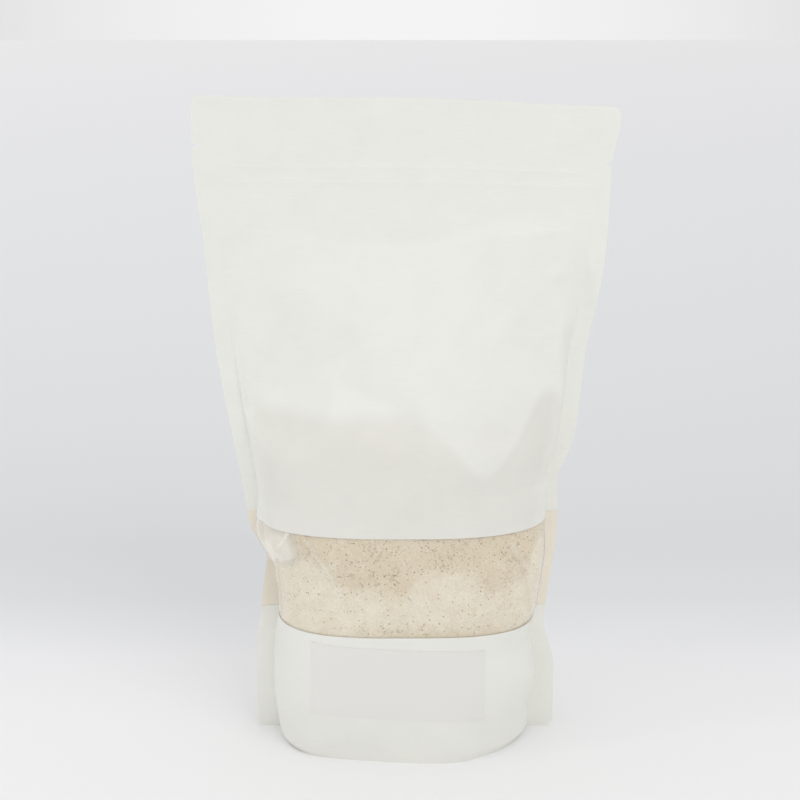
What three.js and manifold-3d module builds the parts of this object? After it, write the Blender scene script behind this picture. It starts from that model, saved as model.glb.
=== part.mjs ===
// Stand-up pouch of flour: a paper-faced pouch with side seals, a press-to-close strip and a
// bottom gusset, a band of clear film across its front, the flour inside and a bare sticker.
// Millimetres, +Z up, front towards -Y. The pouch stands on its gusset.

import * as THREE from 'three';
import { mergeVertices } from 'three/addons/utils/BufferGeometryUtils.js';
import Module from 'manifold-3d';

const wasm = await Module();
wasm.setup();

// Pouch
const pouchHeight = 313;
const sheetHalf = 0.6;            // half the thickness of the sealed edges and the header
const wall = 1.2;
const gap = 0.3;                  // between neighbouring pieces
const fillGap = 0.8;              // between the paper and the flour
const cornerRadius = 4;
const topTilt = 0.027;            // the top edge falls to the right by this slope
const topWave = 0.7;
const headerBow = 2.2;            // the header bows gently front to back

// Press-to-close strip, tear notches
const zipHeights = [274, 281];
const zipRise = 0.5;
const zipHalfWidth = 1.3;
const notchDepth = 3;
const notchHalfHeight = 2.4;
const notchMargin = 2;            // how far past the edge the cut begins
const notchHeightLeft = 290;
const notchHeightRight = 286;

// Window band, film and sticker
const windowBottom = 65;
const windowTop = 114;
const filmThickness = 0.5;
const filmClearance = 0.6;        // between the film and the flour's highest lumps
const labelLeft = -45;
const labelRight = 38;
const labelBottom = 22.7;
const labelTop = 59.1;
const labelTilt = 0.043;
const labelThickness = 0.5;
const labelGap = 0.45;

// Gusset: a lip all round, a groove inside it and a flat floor that the pouch stands on
const gussetSpine = 42;
const gussetFree = 51;            // beyond this reach the gusset is drawn into the side seals
const gussetRings = [
  { inward: 0.42, height: 0 },
  { inward: 0.16, height: 5.5 },
  { inward: 0.06, height: 4.5 },
  { inward: 0.035, height: 0 },
];
const cavityFloor = 9;
const gussetWall = 1.4;
const floorRings = [
  { inward: 0.42, drop: 1 },
  { inward: 0.16, drop: 0.1 },
];

// Grid of the pouch
const bellyColumns = 28;
const sectionSteps = 160;
const fillRows = 18;
const windowRows = 7;

// Seam lines: [height, reach of the left outer edge, height, reach of the right outer edge]
const leftSeam = [
  [0, 72.5], [3, 75], [45, 74], [68, 71.3], [82, 69.4], [91, 68.4], [97, 71.5], [107, 76.5],
  [125, 79.6], [146, 83], [171, 87.3], [205, 92.2], [248, 95.9], [290, 99.7], [316, 99.6],
];
const rightSeam = [
  [0, 71.5], [4, 74.8], [34, 74.4], [45, 72.1], [55, 69.2], [74, 71], [100, 74.4], [115, 75.1],
  [132, 74.3], [138, 76.8], [146, 80.2], [160, 83.3], [195, 87], [224, 92.6], [248, 95.3],
  [286, 96.8], [306, 100.4], [316, 100.4],
];

// Width of the side seals, wider where the gusset is sealed in, narrow where the belly hides them
const leftSeal = [
  [0, 12.5], [10, 11], [30, 9], [60, 9], [75, 7.5], [90, 3.6], [104, 3], [118, 6], [130, 8],
  [316, 8],
];
const rightSeal = [
  [0, 13], [10, 13], [30, 9.5], [55, 8], [75, 4.8], [95, 5], [114, 6.4], [125, 5], [140, 7],
  [160, 8], [316, 8],
];

// The right-hand corner of the foot is drawn in to a slimmer curve, up to this height
const footCorner = { top: 50, bulge: 1.5, edge: 0.08 };

// How far the panels stand out from the seams: [height, depth]
const frontDepths = [
  [0, 41.5], [45, 45], [90, 46.5], [130, 45.5], [150, 43.5], [165, 39.5], [180, 33.5],
  [200, 25.5], [225, 15], [240, 8.9], [249, 5], [254, 2.5], [261, 1.6], [276, 0.3], [284, 0],
];
const backDepths = [
  [0, 41.5], [45, 45], [90, 46.5], [130, 44.5], [150, 42], [170, 37.5], [205, 26], [232, 14.5],
  [250, 7], [262, 2.8], [272, 0.8], [284, 0],
];

// Section of the belly, from nearly a rounded box at the base to a lens under the header
const bulges = [
  [0, 4.4], [20, 4], [45, 3.3], [90, 3], [130, 2.6], [170, 2.3], [210, 2], [316, 2],
];
const edges = [
  [0, 0.48], [20, 0.45], [45, 0.38], [90, 0.36], [130, 0.5], [170, 0.66], [205, 0.9], [240, 1],
  [316, 1],
];

// Top edge of the air-filled part of the front, by place across it: [x, height]
const puffEdge = [[-100, 264], [-77, 262], [-49, 256], [-3, 252], [20, 254], [43, 260], [100, 262]];
const puffEdgeMean = 259;

// Level of the flour behind the front paper, by place across it: [x, height]
const fillLevel = [[-90, 168], [0, 169], [20, 158], [37, 142], [52, 158], [66, 176], [90, 178]];

// The slack front above the flour falls into flat facets that meet in creases. Each is a plane
// through a place on it, its depth there, and what it gains for each mm across and up.
const flap = { at: [-76, 251], depth: 1.4, across: 0.375, up: 0.015 };
const flapFoot = { at: [-15, 203], depth: 24.5, across: 0.86, up: -0.76 };
const hollow = { at: [-15, 203], depth: 25.2, across: 0.3, up: -0.13 };
const hollowFoot = { at: [-7, 169], depth: 33.5, across: 0, up: -0.75 };
const lobe = { at: [60, 240], depth: 7.8, across: -0.3, up: -0.12 };
const lobeSide = { at: [20, 246], depth: 1, across: 0.3, up: -0.15 };
const lobeTop = { at: [50, 260], depth: 2, across: 0, up: -0.7 };
const lobeFoot = { at: [60, 185], depth: 18, across: 0, up: 0.5 };
const creaseRadius = 1.6;
const facetLeast = 2;             // a facet never comes closer to the seam's plane than this

// Other folds: a crease rises (or falls) from a line, with its own reach on each side of it, and
// past its ends by a share of both
const creasePast = 0.6;
const creaseSharpness = 1.4;
const frontCreases = [
  { from: [-79, 168], to: [-67, 104], rise: -2.6, above: 6, below: 6 },
  { from: [79, 200], to: [72, 150], rise: -2.2, above: 6, below: 6 },
];
const backCreases = [
  { from: [70, 250], to: [5, 186], rise: 3.4, above: 12, below: 34 },
  { from: [5, 186], to: [-70, 232], rise: 2.6, above: 26, below: 14 },
  { from: [5, 186], to: [-12, 120], rise: 1.8, above: 22, below: 22 },
];

// Dents (and bulges, where rise is above zero): centre, reach across and up, rise. The two at
// height 0 give the foot its uneven front.
const frontDents = [
  { at: [38, 149], reach: [15, 12], rise: 2.2 },
  { at: [73, 232], reach: [6, 4], rise: 1.4 },
  { at: [15, 0], reach: [22, 18], rise: 1.8 },
  { at: [-33, 0], reach: [20, 16], rise: -2.4 },
];
const backDents = [
  { at: [44, 196], reach: [20, 20], rise: -3 },
  { at: [-48, 182], reach: [24, 18], rise: -2.6 },
];

// Flour relief behind the film: lumps of a few sizes, from summed waves
const lumpSize = 17;
const lumpHeight = 0.35;

// Plain helpers

function smoothStep(from, to, value) {
  const t = THREE.MathUtils.clamp((value - from) / (to - from), 0, 1);
  return t * t * (3 - 2 * t);
}

// A smooth line through knots that never overshoots them
function curveThrough(knots) {
  const last = knots.length - 1;
  const steps = [];
  for (let i = 0; i < last; i += 1) {
    steps.push((knots[i + 1][1] - knots[i][1]) / (knots[i + 1][0] - knots[i][0]));
  }
  const slopes = knots.map((knot, i) => {
    if (i === 0) return steps[0];
    if (i === last) return steps[last - 1];
    const product = steps[i - 1] * steps[i];
    return product <= 0 ? 0 : (2 * product) / (steps[i - 1] + steps[i]);
  });
  return (place) => {
    if (place <= knots[0][0]) return knots[0][1];
    if (place >= knots[last][0]) return knots[last][1];
    let i = 0;
    while (knots[i + 1][0] < place) i += 1;
    const span = knots[i + 1][0] - knots[i][0];
    const t = (place - knots[i][0]) / span;
    const rise = knots[i + 1][1] - knots[i][1];
    const bend = t * (1 - t) * span;
    return knots[i][1] + rise * t * t * (3 - 2 * t)
      + bend * ((1 - t) * slopes[i] - t * slopes[i + 1]);
  };
}

const leftReach = curveThrough(leftSeam);
const rightReach = curveThrough(rightSeam);
const frontDepth = curveThrough(frontDepths);
const backDepth = curveThrough(backDepths);
const bulgeAt = curveThrough(bulges);
const edgeAt = curveThrough(edges);
const puffEdgeAt = curveThrough(puffEdge);
const fillAt = curveThrough(fillLevel);
const leftSealAt = curveThrough(leftSeal);
const rightSealAt = curveThrough(rightSeal);

// Folds

function creaseRise(crease, x, z) {
  const alongX = crease.to[0] - crease.from[0];
  const alongZ = crease.to[1] - crease.from[1];
  const length = Math.hypot(alongX, alongZ);
  const offX = x - crease.from[0];
  const offZ = z - crease.from[1];
  const along = (offX * alongX + offZ * alongZ) / length;
  const across = (alongX * offZ - alongZ * offX) / length;
  const past = Math.max(0, -along, along - length);
  const reach = across > 0 ? crease.above : crease.below;
  const far = Math.hypot(across / reach, past / (creasePast * (crease.above + crease.below)));
  return crease.rise * Math.max(0, 1 - far) ** creaseSharpness;
}

function dentRise(dent, x, z) {
  const far = ((x - dent.at[0]) / dent.reach[0]) ** 2 + ((z - dent.at[1]) / dent.reach[1]) ** 2;
  return dent.rise * Math.exp(-far);
}

function foldRise(side, x, z) {
  const creases = side < 0 ? frontCreases : backCreases;
  const dents = side < 0 ? frontDents : backDents;
  const creased = creases.reduce((sum, crease) => sum + creaseRise(crease, x, z), 0);
  return dents.reduce((sum, dent) => sum + dentRise(dent, x, z), creased);
}

function facetDepth(facet, x, z) {
  return facet.depth + facet.across * (x - facet.at[0]) + facet.up * (z - facet.at[1]);
}

function softMin(a, b) {
  return (a + b - Math.hypot(a - b, creaseRadius)) / 2;
}

function softMax(a, b) {
  return -softMin(-a, -b);
}

// How far the facets push the front in or out of its smooth depth
function facetRise(x, z, smooth) {
  const lobed = softMin(facetDepth(lobe, x, z), facetDepth(lobeSide, x, z));
  const ended = softMin(facetDepth(lobeTop, x, z), facetDepth(lobeFoot, x, z));
  const puffed = softMax(smooth, softMin(lobed, ended));
  const flapped = softMax(facetDepth(flap, x, z), facetDepth(flapFoot, x, z));
  const hollowed = softMax(facetDepth(hollow, x, z), facetDepth(hollowFoot, x, z));
  return softMin(puffed, softMin(softMax(flapped, facetLeast), hollowed)) - smooth;
}

function zipRelief(z) {
  const rises = zipHeights.map((height) => zipRise * Math.exp(-(((z - height) / zipHalfWidth) ** 2)));
  return rises.reduce((sum, rise) => sum + rise, 0);
}

// The section of one panel at a height: its seam edges and its belly curve, as [x, y] points
function panelSection(side, z, inset) {
  const corner = Math.max(0, z - (pouchHeight - cornerRadius));
  const cornerIn = cornerRadius - Math.sqrt(cornerRadius ** 2 - Math.min(corner, cornerRadius) ** 2);
  const left = -leftReach(z) + cornerIn;
  const right = rightReach(z) - cornerIn;
  const innerLeft = leftSealAt(z) - leftReach(z);
  const innerRight = rightReach(z) - rightSealAt(z);
  const middle = (innerLeft + innerRight) / 2;
  const half = (innerRight - innerLeft) / 2;
  const low = 1 - smoothStep(0, footCorner.top, z);
  const depthAt = side < 0 ? frontDepth : backDepth;
  const edgeWeight = smoothStep(205, 240, z) * (1 - smoothStep(264, 278, z));
  const belly = [];
  for (let k = 0; k <= sectionSteps; k += 1) {
    const angle = Math.PI * (k / sectionSteps - 0.5);
    const slim = low * smoothStep(0, 0.5, angle);
    const reach = Math.abs(Math.sin(angle)) ** (2 / (bulgeAt(z) - footCorner.bulge * slim));
    const x = middle + Math.sign(angle) * (half - inset) * reach;
    const crown = Math.max(0, Math.cos(angle)) ** (2 * (edgeAt(z) + footCorner.edge * slim));
    const shift = side < 0 ? (puffEdgeAt(x) - puffEdgeMean) * edgeWeight : 0;
    const depth = depthAt(z - shift);
    const freed = smoothStep(0, 0.35, crown) * smoothStep(2, 12, depth);
    const held = smoothStep(0, 0.2, crown);
    const facet = side < 0 ? facetRise(x, z, depth * crown) * held * smoothStep(0.8, 5, depth) : 0;
    const inner = inset * Math.max(crown, smoothStep(0, 4, -facet));
    const y = Math.max(0, depth * crown + facet - inner) + foldRise(side, x, z) * freed
      + zipRelief(z) * held;
    belly.push(new THREE.Vector2(x, side * (Math.max(sheetHalf / 2, sheetHalf - inset) + y)));
  }
  return { left, right, belly };
}

// Spread a fixed number of points evenly along a line
function spreadAlong(line, count) {
  const lengths = [0];
  for (let i = 1; i < line.length; i += 1) {
    lengths.push(lengths[i - 1] + line[i].distanceTo(line[i - 1]));
  }
  const total = lengths[lengths.length - 1];
  const spread = [];
  let i = 1;
  for (let k = 0; k <= count; k += 1) {
    const target = (total * k) / count;
    while (i < line.length - 1 && lengths[i] < target) i += 1;
    const t = (target - lengths[i - 1]) / (lengths[i] - lengths[i - 1] || 1);
    spread.push(line[i - 1].clone().lerp(line[i], THREE.MathUtils.clamp(t, 0, 1)));
  }
  return spread;
}

const sectionCache = new Map();

// A row of points from seam to seam at one height: seal edge, seal inner edge, belly, and back out
function panelRow(side, z, inset) {
  const key = `${side} ${z} ${inset}`;
  if (!sectionCache.has(key)) {
    const { left, right, belly } = panelSection(side, z, inset);
    const y = side * sheetHalf;
    const row = spreadAlong(belly, bellyColumns);
    sectionCache.set(key, [new THREE.Vector2(left, y), ...row, new THREE.Vector2(right, y)]);
  }
  return sectionCache.get(key);
}

// The header leans, waves and tilts a little, the more the higher it is
function settle(x, y, z) {
  const high = smoothStep(215, pouchHeight, z);
  const wave = topWave * Math.sin(x / 26 + 1.2) - topTilt * x;
  return new THREE.Vector3(x, y + headerBow * high * Math.sin(x / 48 + 0.6), z + wave * high);
}

function panelPoint(side, column, z, inset = 0) {
  const point = panelRow(side, z, inset)[column];
  return settle(point.x, point.y, z);
}

const lastColumn = bellyColumns + 2;

// Solids

// A closed body between two grids of points that share their borders' order
function closedBody(columns, rows, frontPoint, backPoint) {
  const points = [];
  const triangles = [];
  const wide = columns + 1;
  const backStart = wide * (rows + 1);
  for (const pointAt of [frontPoint, backPoint]) {
    for (let j = 0; j <= rows; j += 1) {
      for (let i = 0; i <= columns; i += 1) points.push(pointAt(i, j));
    }
  }
  const quad = (a, b, c, d) => {
    const even = points[a].distanceTo(points[c]) <= points[b].distanceTo(points[d]);
    triangles.push(...(even ? [a, b, c, a, c, d] : [a, b, d, b, c, d]));
  };
  for (let j = 0; j < rows; j += 1) {
    for (let i = 0; i < columns; i += 1) {
      const a = j * wide + i;
      quad(a, a + 1, a + wide + 1, a + wide);
      const b = backStart + a;
      quad(b, b + wide, b + wide + 1, b + 1);
    }
  }
  for (let i = 0; i < columns; i += 1) {
    quad(i, backStart + i, backStart + i + 1, i + 1);
    const top = rows * wide + i;
    quad(top, top + 1, backStart + top + 1, backStart + top);
  }
  for (let j = 0; j < rows; j += 1) {
    const a = j * wide;
    quad(a, a + wide, backStart + a + wide, backStart + a);
    const b = a + columns;
    quad(b, backStart + b, backStart + b + wide, b + wide);
  }
  const geometry = new THREE.BufferGeometry();
  const places = points.flatMap((point) => point.toArray());
  geometry.setAttribute('position', new THREE.Float32BufferAttribute(places, 3));
  geometry.setIndex(triangles);
  return geometry;
}

function toSolid(geometry) {
  const vertProperties = new Float32Array(geometry.attributes.position.array);
  const triVerts = new Uint32Array(geometry.index.array);
  return new wasm.Manifold(new wasm.Mesh({ numProp: 3, vertProperties, triVerts }));
}

function toGeometry(solid) {
  const mesh = solid.getMesh();
  const geometry = new THREE.BufferGeometry();
  const places = new Float32Array(mesh.vertProperties);
  geometry.setAttribute('position', new THREE.BufferAttribute(places, 3));
  geometry.setIndex(new THREE.BufferAttribute(new Uint32Array(mesh.triVerts), 1));
  return geometry;
}

// Heights of the pouch's rows: even up the belly, closer at the zip, the notches and the corners
function pouchHeights() {
  const heights = [];
  for (let z = 0; z <= 88; z += 11) heights.push(z);
  for (let z = 94; z < 262; z += 7) heights.push(z);
  heights.push(264);
  for (const zip of zipHeights) heights.push(zip - 2.6, zip - 1.2, zip, zip + 1.2);
  heights.push(284.5, 296);
  for (let k = 0; k <= 4; k += 1) {
    heights.push(pouchHeight - cornerRadius * (1 - Math.sin((k / 4) * Math.PI * 0.5)));
  }
  return heights;
}

// A point of the gusset: the outline of the base drawn in towards the spine under the pouch
function gussetPoint(outline, ring) {
  const spine = new THREE.Vector3(THREE.MathUtils.clamp(outline.x, -gussetSpine, gussetSpine), 0, 0);
  const point = outline.clone().lerp(spine, ring.inward);
  const free = 1 - smoothStep(gussetFree, gussetFree + 6, Math.abs(outline.x));
  point.z = ring.height * free;
  return point;
}

function outerBody() {
  const heights = pouchHeights();
  const rings = gussetRings.length;
  const pointOn = (side) => (i, j) => (j < rings
    ? gussetPoint(panelPoint(side, i, 0), gussetRings[j])
    : panelPoint(side, i, heights[j - rings]));
  return closedBody(lastColumn, rings + heights.length - 1, pointOn(-1), pointOn(1));
}

// The space that the flour fills, or the flour itself with a larger inset
function fillBody(inset, relief) {
  const low = cavityFloor + inset - wall;
  const pointOn = (side) => (i, j) => {
    const column = i + 1;
    if (j < floorRings.length) {
      const { inward, drop } = floorRings[j];
      const point = gussetPoint(panelPoint(side, column, low, inset), { inward, height: 0 });
      point.z = THREE.MathUtils.lerp(low, gussetWall + inset - wall, drop);
      return point;
    }
    const high = fillAt(panelPoint(side, column, 160, inset).x) - (inset - wall);
    const z = THREE.MathUtils.lerp(low, high, (j - floorRings.length) / fillRows);
    const point = panelPoint(side, column, z, inset);
    if (side < 0) point.y -= relief(point.x, point.z);
    return point;
  };
  return closedBody(bellyColumns, floorRings.length + fillRows, pointOn(-1), pointOn(1));
}

// The flour stands out into the opening behind the film, uneven as it settled
function flourRelief(x, z) {
  const inBand = smoothStep(windowBottom + 1, windowBottom + 4, z)
    * (1 - smoothStep(windowTop - 4, windowTop - 1, z))
    * (1 - smoothStep(50, 58, Math.abs(x)));
  const waves = Math.sin(x / lumpSize + 1.3 * Math.sin(z / lumpSize))
    + Math.sin((z * 1.7 - x * 0.6) / lumpSize + 0.8);
  const room = wall + fillGap - filmThickness - filmClearance;
  return inBand * (room - lumpHeight * (0.5 - waves / 4));
}

// The outward normal of the front, within its section, at a column and height
function frontNormal(column, z) {
  const before = panelPoint(-1, Math.max(column - 1, 0), z);
  const after = panelPoint(-1, Math.min(column + 1, lastColumn), z);
  return new THREE.Vector3(after.y - before.y, before.x - after.x, 0).normalize();
}

// A band that follows the front from seam to seam, between two insets and two heights
function frontBand(outerAt, innerAt, low, high, rows) {
  const pointOn = (insetAt) => (i, j) => {
    const z = THREE.MathUtils.lerp(low, high, j / rows);
    return panelPoint(-1, i, z).addScaledVector(frontNormal(i, z), -insetAt(i));
  };
  return closedBody(lastColumn, rows, pointOn(outerAt), pointOn(innerAt));
}

function inSeal(column) {
  return column < 2 || column > lastColumn - 2;
}

// The window goes through the front panel, and through the front layer of both side seals
function windowCutter() {
  const inner = (column) => (inSeal(column) ? filmThickness + gap : wall + 0.9);
  const band = frontBand(() => -2, inner, windowBottom - gap, windowTop + gap, windowRows);
  const places = band.attributes.position;
  for (let k = 0; k < places.count; k += 1) {
    const column = k % (lastColumn + 1);
    if (column === 0) places.setX(k, places.getX(k) - 1);
    if (column === lastColumn) places.setX(k, places.getX(k) + 1);
  }
  return band;
}

// A wedge across the edge of the header, its point towards the middle
function notchCutter(side, height) {
  const edge = side < 0 ? -leftReach(height) : rightReach(height);
  const outline = new THREE.Shape();
  outline.moveTo(edge - side * notchDepth, 0);
  outline.lineTo(edge + side * notchMargin, -side * notchHalfHeight);
  outline.lineTo(edge + side * notchMargin, side * notchHalfHeight);
  outline.closePath();
  const notch = new THREE.ExtrudeGeometry(outline, { depth: 20, bevelEnabled: false });
  notch.deleteAttribute('normal');
  notch.deleteAttribute('uv');
  notch.translate(0, 0, -10);
  notch.rotateX(Math.PI / 2);
  notch.translate(0, 0, height);
  return mergeVertices(notch);
}

// The y of a row of the front's points at a place across it
function rowDepth(row, x) {
  const after = row.findIndex((point) => point.x > x);
  const t = (x - row[after - 1].x) / (row[after].x - row[after - 1].x);
  return THREE.MathUtils.lerp(row[after - 1].y, row[after].y, t);
}

// The label lies on the faces of the front, its gap off them
function labelBody() {
  const columns = 12;
  const rows = 5;
  const heights = pouchHeights();
  const pointOn = (standOff) => (i, j) => {
    const x = THREE.MathUtils.lerp(labelLeft, labelRight, i / columns);
    const drop = labelTilt * (x - (labelLeft + labelRight) / 2);
    const z = THREE.MathUtils.lerp(labelBottom, labelTop, j / rows) - drop;
    const above = heights.findIndex((height) => height > z);
    const [low, high] = [heights[above - 1], heights[above]];
    const lowDepth = rowDepth(panelRow(-1, low, 0), x);
    const highDepth = rowDepth(panelRow(-1, high, 0), x);
    const y = THREE.MathUtils.mapLinear(z, low, high, lowDepth, highDepth);
    const column = panelRow(-1, z, 0).findIndex((point) => point.x > x);
    return new THREE.Vector3(x, y, z).addScaledVector(frontNormal(column, z), standOff);
  };
  return closedBody(columns, rows, pointOn(labelGap + labelThickness), pointOn(labelGap));
}

function pouchSolid() {
  const noRelief = () => 0;
  const cavity = toSolid(fillBody(wall, noRelief));
  return toSolid(outerBody())
    .subtract(cavity)
    .subtract(toSolid(windowCutter()))
    .subtract(toSolid(notchCutter(-1, notchHeightLeft)))
    .subtract(toSolid(notchCutter(1, notchHeightRight)));
}

// Finishes

const paper = new THREE.MeshStandardMaterial({ color: 0xe9e8e2, roughness: 0.75 });
const film = new THREE.MeshStandardMaterial({
  color: 0xf4f1e6, roughness: 0.12, transparent: true, opacity: 0.3,
});
const flour = new THREE.MeshStandardMaterial({ color: 0xdccfb8, roughness: 1 });
const sticker = new THREE.MeshStandardMaterial({ color: 0xf1f1ef, roughness: 0.5 });

function piece(name, geometry, material) {
  const mesh = new THREE.Mesh(geometry, material);
  mesh.name = name;
  geometry.computeVertexNormals();
  return mesh;
}

const filmBody = frontBand(() => 0, () => filmThickness, windowBottom, windowTop, windowRows);

const bag = new THREE.Group();
bag.name = 'bag_of_flour';
bag.add(
  piece('pouch', toGeometry(pouchSolid()), paper),
  piece('flour', fillBody(wall + fillGap, flourRelief), flour),
  piece('window_film', filmBody, film),
  piece('label', labelBody(), sticker),
);

// The origin is under the middle of the whole bag, on the surface that it stands on
const bounds = new THREE.Box3().setFromObject(bag);
const middle = bounds.getCenter(new THREE.Vector3());
bag.position.set(-middle.x, -middle.y, -bounds.min.z);

export default bag;
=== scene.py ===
# A stand-up pouch of flour: white paper-faced laminate, a clear film band, the flour behind it.
# Shapes are worked out in millimetres along the flat panels and turned to metres at the end.
import math
import bpy
import mathutils
import numpy as np
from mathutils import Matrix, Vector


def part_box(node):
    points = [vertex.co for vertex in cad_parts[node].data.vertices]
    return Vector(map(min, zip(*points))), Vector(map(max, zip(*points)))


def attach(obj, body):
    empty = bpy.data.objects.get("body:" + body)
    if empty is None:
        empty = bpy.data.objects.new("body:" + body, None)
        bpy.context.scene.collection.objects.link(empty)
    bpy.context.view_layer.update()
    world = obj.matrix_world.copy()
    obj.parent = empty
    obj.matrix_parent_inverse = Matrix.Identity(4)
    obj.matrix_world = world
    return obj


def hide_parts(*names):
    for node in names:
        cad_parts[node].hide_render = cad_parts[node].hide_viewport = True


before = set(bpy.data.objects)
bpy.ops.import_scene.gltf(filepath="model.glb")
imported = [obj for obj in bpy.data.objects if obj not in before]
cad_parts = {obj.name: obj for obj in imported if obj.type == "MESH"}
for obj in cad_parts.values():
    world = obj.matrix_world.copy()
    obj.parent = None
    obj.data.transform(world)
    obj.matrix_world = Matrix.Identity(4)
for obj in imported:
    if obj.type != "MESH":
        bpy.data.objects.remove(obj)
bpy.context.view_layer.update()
scene = bpy.context.scene
mm = 0.001
print("frame loaded")


# Small tools for curves and noise

def smoothStep(low, high, value):
    t = np.clip((value - low) / (high - low), 0, 1)
    return t * t * (3 - 2 * t)


def curveThrough(knots):  # a smooth line through knots that never overshoots them
    places, values = np.array(knots, float).T
    steps = np.diff(values) / np.diff(places)
    product = steps[:-1] * steps[1:]
    total = np.where(product > 0, steps[:-1] + steps[1:], 1)
    inner = np.where(product > 0, 2 * product / total, 0)
    slopes = np.concatenate([steps[:1], inner, steps[-1:]])

    def valueAt(place):
        place = np.clip(place, places[0], places[-1])
        i = np.clip(np.searchsorted(places, place, side="right") - 1, 0, len(places) - 2)
        span = places[i + 1] - places[i]
        t = (place - places[i]) / span
        rise = (values[i + 1] - values[i]) * t * t * (3 - 2 * t)
        return values[i] + rise + t * (1 - t) * span * ((1 - t) * slopes[i] - t * slopes[i + 1])

    return valueAt


def softNoise(x, z, cell, seed):  # smooth lattice noise from -1 to 1, one lattice step per cell
    lattice = np.random.default_rng(seed).uniform(-1, 1, (64, 64))
    i, j = np.floor(x / cell).astype(int), np.floor(z / cell).astype(int)
    s, t = x / cell - i, z / cell - j
    s, t = s * s * (3 - 2 * s), t * t * (3 - 2 * t)
    low = lattice[i % 64, j % 64] * (1 - s) + lattice[(i + 1) % 64, j % 64] * s
    high = lattice[i % 64, (j + 1) % 64] * (1 - s) + lattice[(i + 1) % 64, (j + 1) % 64] * s
    return low * (1 - t) + high * t


def layeredNoise(x, z, cell, seed, layers=3):
    parts = [softNoise(x, z, cell / 2 ** k, seed + k) / 2 ** k for k in range(layers)]
    return sum(parts) / 1.75


# The pouch's form, the same named sizes as its solids

pouch = {
    "height": 313,
    "leftSeal": [
        (0, 12.5), (10, 11), (30, 9), (60, 9), (75, 7.5), (90, 3.6), (104, 3), (118, 6),
        (130, 8), (316, 8)],
    "rightSeal": [
        (0, 13), (10, 13), (30, 9.5), (55, 8), (75, 4.8), (95, 5), (114, 6.4), (125, 5),
        (140, 7), (160, 8), (316, 8)],
    "sealHalf": 0.35,
    "sheet": 0.3,
    "cornerRadius": 4,
    "topTilt": 0.027,
    "topWave": 0.7,
    "headerBow": 2.2,
    "finBend": 1.1,
    "zipHeights": (274, 281),
    "zipRise": 0.22,
    "zipHalfWidth": 1.1,
    "notchDepth": 3,
    "notchHalf": 1.4,
    "notchHeights": (290, 286),
    "leftSeam": [
        (0, 72.5), (3, 75), (45, 74), (68, 71.3), (82, 69.4), (91, 68.4), (97, 71.5),
        (107, 76.5), (125, 79.6), (146, 83), (171, 87.3), (205, 92.2), (248, 95.9),
        (290, 99.7), (316, 99.6)],
    "rightSeam": [
        (0, 71.5), (4, 74.8), (34, 74.4), (45, 72.1), (55, 69.2), (74, 71), (100, 74.4),
        (115, 75.1), (132, 74.3), (138, 76.8), (146, 80.2), (160, 83.3), (195, 87),
        (224, 92.6), (248, 95.3), (286, 96.8), (306, 100.4), (316, 100.4)],
    "frontDepths": [
        (0, 41.5), (45, 45), (90, 46.5), (130, 45.5), (150, 43.5), (165, 39.5), (180, 33.5),
        (200, 25.5), (225, 15), (240, 8.9), (249, 5), (254, 2.5), (261, 1.6), (276, 0.3), (284, 0)],
    "backDepths": [
        (0, 41.5), (45, 45), (90, 46.5), (130, 44.5), (150, 42), (170, 37.5), (205, 26),
        (232, 14.5), (250, 7), (262, 2.8), (272, 0.8), (284, 0)],
    "bulges": [(0, 4.4), (20, 4), (45, 3.3), (90, 3), (130, 2.6), (170, 2.3), (210, 2), (316, 2)],
    "edges": [
        (0, 0.48), (20, 0.45), (45, 0.38), (90, 0.36), (130, 0.5), (170, 0.66), (205, 0.9),
        (240, 1), (316, 1)],
    # the right-hand corner of the foot is slimmer: up to this height, by this much
    "footCorner": {"top": 50, "bulge": 1.5, "edge": 0.08},
    "puffEdge": [(-100, 264), (-77, 262), (-49, 256), (-3, 252), (20, 254), (43, 260), (100, 262)],
    "puffEdgeMean": 259,
    "puffFades": ((205, 240), (264, 278)),  # heights where the puff's edge fades in and out
    "fillLevel": [(-90, 168), (0, 169), (20, 158), (37, 142), (52, 158), (66, 176), (90, 178)],
    "window": (65, 114),
}

leftReach, rightReach = curveThrough(pouch["leftSeam"]), curveThrough(pouch["rightSeam"])
depthCurves = {-1: curveThrough(pouch["frontDepths"]), 1: curveThrough(pouch["backDepths"])}
bulgeAt, edgeAt = curveThrough(pouch["bulges"]), curveThrough(pouch["edges"])
puffEdgeAt, fillAt = curveThrough(pouch["puffEdge"]), curveThrough(pouch["fillLevel"])
leftSealAt, rightSealAt = curveThrough(pouch["leftSeal"]), curveThrough(pouch["rightSeal"])


def innerEdges(z):  # where the side seals end and the belly begins
    return leftSealAt(z) - leftReach(z), rightReach(z) - rightSealAt(z)


# The slack front above the flour falls into flat facets, which meet in creases.
# A facet is a plane: a place on it (x, z), its depth there, and what it gains per mm across and up
facets = {
    "flap": (-76, 251, 1.4, 0.375, 0.015),
    "flapFoot": (-15, 203, 24.5, 0.86, -0.76),
    "hollow": (-15, 203, 25.2, 0.3, -0.13),
    "hollowFoot": (-7, 169, 33.5, 0, -0.75),
    "lobe": (60, 240, 7.8, -0.3, -0.12),
    "lobeSide": (20, 246, 1, 0.3, -0.15),
    "lobeTop": (50, 260, 2, 0, -0.7),
    "lobeFoot": (60, 185, 18, 0, 0.5),
}
creaseRadius = 1.6  # mm that a crease between facets is rounded over
creasePast = 0.6  # a crease runs out past its ends by this share of its reach
creaseSharpness = 1.4
facetLeast = 2.0  # mm, a facet never comes closer to the seam's plane

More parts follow.
